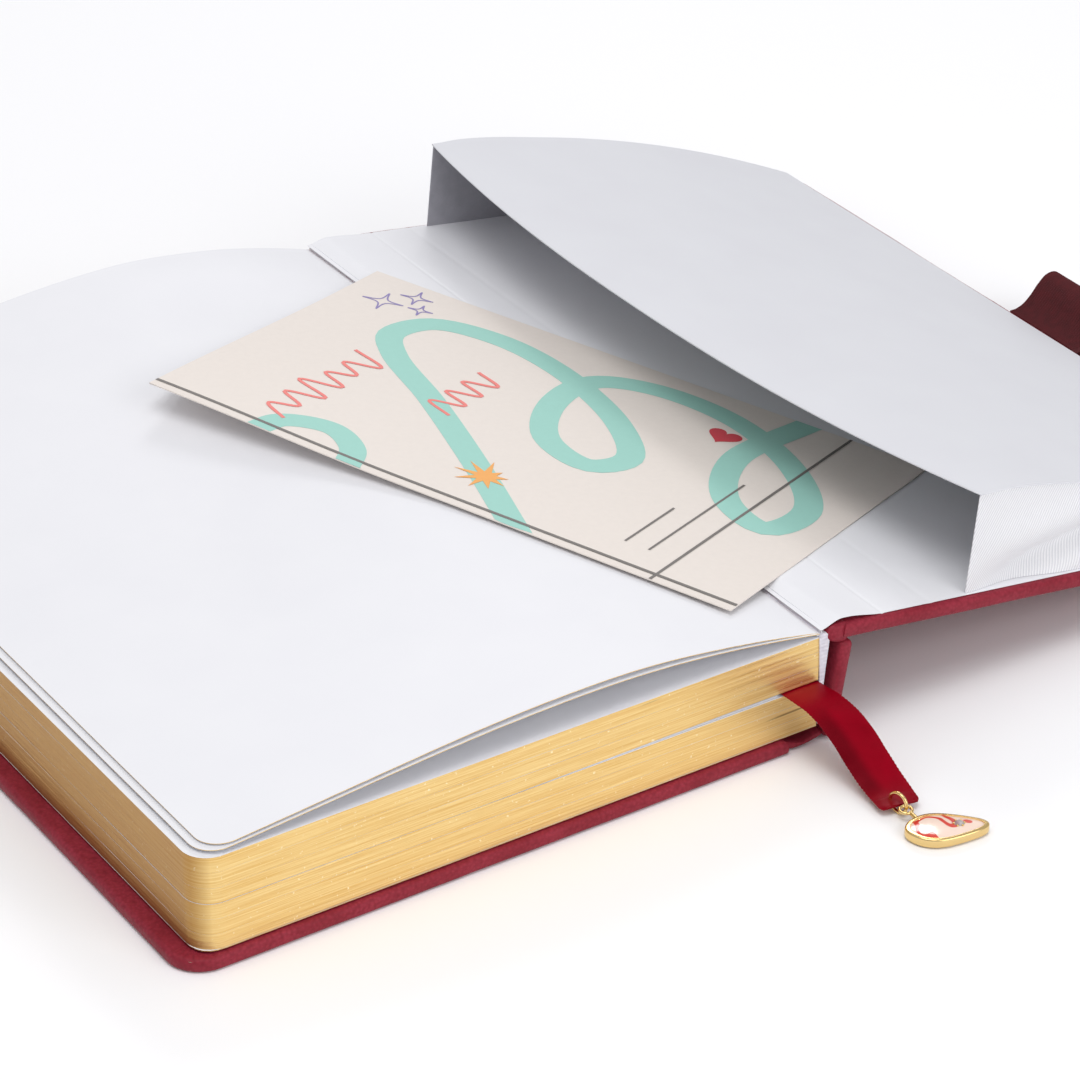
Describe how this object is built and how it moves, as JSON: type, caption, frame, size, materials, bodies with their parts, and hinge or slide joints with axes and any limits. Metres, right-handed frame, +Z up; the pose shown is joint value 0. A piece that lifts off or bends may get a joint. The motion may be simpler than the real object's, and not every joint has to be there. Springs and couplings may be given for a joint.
{
  "type": "prayer journal",
  "caption": "Leather-cased devotional journal lying open at its back cover, with gilt page edges, an expanding pocket, a loose card, a pen loop and a ribbon bookmark with a charm.",
  "frame": {"origin": "under the middle of the open book without its ribbon, on the surface that it lies on", "axes": "+X from the front cover's fore-edge to the open back cover's fore-edge, +Y from tail to head, +Z up"},
  "size_m": [0.3228, 0.2626, 0.0472],
  "materials": {
    "cover_leather": "smooth dyed leather, semi-gloss",
    "board": "grey board",
    "paper": "smooth offset paper",
    "gilt_pages": "gilt page edges, metallic",
    "spine_lining": "mull and glue",
    "ribbon": "satin ribbon",
    "elastic": "ribbed elastic",
    "gusset_cloth": "twill book cloth",
    "card": "matt coated card",
    "gold": "gold plated",
    "enamel": "hard enamel",
    "stone": "faceted glass stone"
  },
  "bodies": {
    "front_cover": {"front_cover_leather": "cover_leather", "front_board": "board", "front_pastedown": "paper", "front_joint_leather": "cover_leather"},
    "front_pages": {"front_flyleaf": "paper", "page_section_1": "gilt_pages", "page_section_2": "gilt_pages", "page_section_3": "gilt_pages"},
    "text_block": {"page_section_4": "gilt_pages", "page_section_5": "gilt_pages", "page_section_6": "gilt_pages", "back_leaf_lower": "paper", "back_leaf_upper": "paper", "spine_lining": "spine_lining", "ribbon": "ribbon"},
    "spine": {"spine_leather": "cover_leather", "spine_board": "board"},
    "back_cover": {"back_cover_leather": "cover_leather", "back_board": "board", "back_pastedown": "paper", "back_joint_leather": "cover_leather", "pen_loop": "elastic", "pocket_gusset_tail": "gusset_cloth", "pocket_gusset_head": "gusset_cloth"},
    "pocket": {"pocket_panel": "paper"},
    "card": {"insert_card": "card"},
    "ring": {"ribbon_ring": "gold"},
    "charm": {"charm_plate": "gold", "charm_enamel": "enamel", "charm_stone": "stone"}
  },
  "joints": [
    {"name": "text_block_hinge", "type": "hinge", "parent": "front_cover", "child": "text_block", "pos_m": [-0.00525, 0, 0.00375], "axis": [0, 1, 0], "range_deg": [0, 90], "deforming": ["front_joint_leather"]},
    {"name": "front_pages_fan", "type": "hinge", "parent": "front_cover", "child": "front_pages", "pos_m": [-0.00525, 0, 0.00375], "axis": [0, 1, 0], "range_deg": [0, 45]},
    {"name": "back_cover_hinge", "type": "hinge", "parent": "text_block", "child": "back_cover", "pos_m": [-0.00705, 0, 0.02916], "axis": [0, -1, 0], "range_deg": [0, 188.07], "deforming": ["back_joint_leather", "insert_card"]},
    {"name": "spine_shift", "type": "hinge", "parent": "text_block", "child": "spine", "pos_m": [-0.02445, 0, 0.012], "axis": [0, -1, 0], "range_deg": [0, 9]},
    {"name": "pocket_fold", "type": "hinge", "parent": "back_cover", "child": "pocket", "pos_m": [0.14332, 0, 0.00834], "axis": [0, -1, 0], "range_deg": [0, 10.46], "deforming": ["pocket_gusset_tail", "pocket_gusset_head"]},
    {"name": "card_swing", "type": "hinge", "parent": "back_cover", "child": "card", "pos_m": [0.03545, -0.2062, 0.02364], "axis": [-0.1404, 0, -0.9901], "range_deg": [0, 25.3]},
    {"name": "ring_swing", "type": "hinge", "parent": "text_block", "child": "ring", "pos_m": [-0.00759, -0.13581, 0.00205], "axis": [-0.9848, -0.1736, 0], "range_deg": [0, 15]},
    {"name": "charm_swing", "type": "hinge", "parent": "ring", "child": "charm", "pos_m": [-0.00683, -0.14015, 0.00205], "axis": [-0.9848, -0.1736, 0], "range_deg": [0, 20]}
  ],
  "couplings": [
    {"joint": "front_pages_fan", "follows": "text_block_hinge", "ratio": 0.5},
    {"joint": "spine_shift", "follows": "back_cover_hinge", "ratio": 0.0478},
    {"joint": "pocket_fold", "follows": "back_cover_hinge", "ratio": 0.05556},
    {"joint": "card_swing", "follows": "back_cover_hinge", "ratio": 0.1345}
  ]
}
